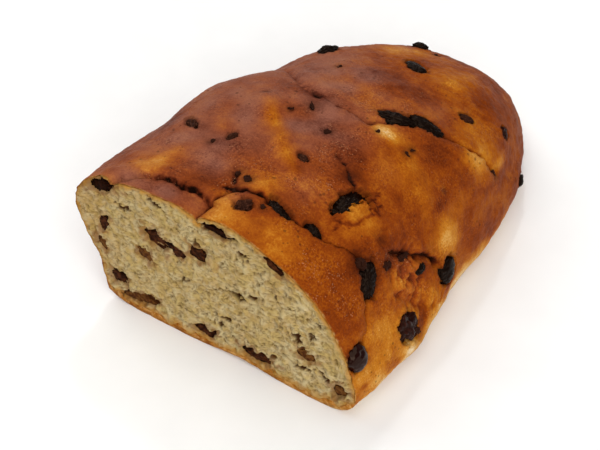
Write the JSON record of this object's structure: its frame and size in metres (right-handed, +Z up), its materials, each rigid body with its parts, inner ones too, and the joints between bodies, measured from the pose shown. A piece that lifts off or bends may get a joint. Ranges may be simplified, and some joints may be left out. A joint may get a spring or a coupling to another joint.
{
  "type": "currant bread",
  "caption": "Cut half of an oval currant loaf with a folded, browned crust, an open crumb on the cut face and dark raisins in both.",
  "frame": {"origin": "on the flat base, in the middle of the loaf's length and straight under its crown", "axes": "+Z up, +Y along the loaf from the cut face to the round baked end, +X to the right as seen from the cut"},
  "size_m": [0.1174, 0.1713, 0.0681],
  "materials": {
    "crust": "satin",
    "raisin": "satin",
    "crumb_fruit": "matte"
  },
  "bodies": {
    "root": {"loaf": "crust", "crust_raisin_01": "raisin", "crust_raisin_02": "raisin", "crust_raisin_03": "raisin", "crust_raisin_04": "raisin", "crust_raisin_05": "raisin", "crust_raisin_06": "raisin", "crust_raisin_07": "raisin", "crust_raisin_08": "raisin", "crust_raisin_09": "raisin", "crust_raisin_10": "raisin", "crust_raisin_11": "raisin", "crust_raisin_12": "raisin", "crust_raisin_13": "raisin", "crust_raisin_14": "raisin", "crust_raisin_15": "raisin", "crust_raisin_16": "raisin", "crust_raisin_17": "raisin", "crust_raisin_18": "raisin", "crust_raisin_19": "raisin", "crust_raisin_20": "raisin", "crumb_raisin_01": "crumb_fruit", "crumb_raisin_02": "crumb_fruit", "crumb_raisin_03": "crumb_fruit", "crumb_raisin_04": "crumb_fruit", "crumb_raisin_05": "crumb_fruit", "crumb_raisin_06": "crumb_fruit", "crumb_raisin_07": "crumb_fruit", "crumb_raisin_08": "crumb_fruit", "crumb_raisin_09": "crumb_fruit", "crumb_raisin_10": "crumb_fruit", "crumb_raisin_11": "crumb_fruit", "crumb_raisin_12": "crumb_fruit", "crumb_raisin_13": "crumb_fruit", "crumb_raisin_14": "crumb_fruit", "crumb_raisin_15": "crumb_fruit"}
  },
  "joints": []
}
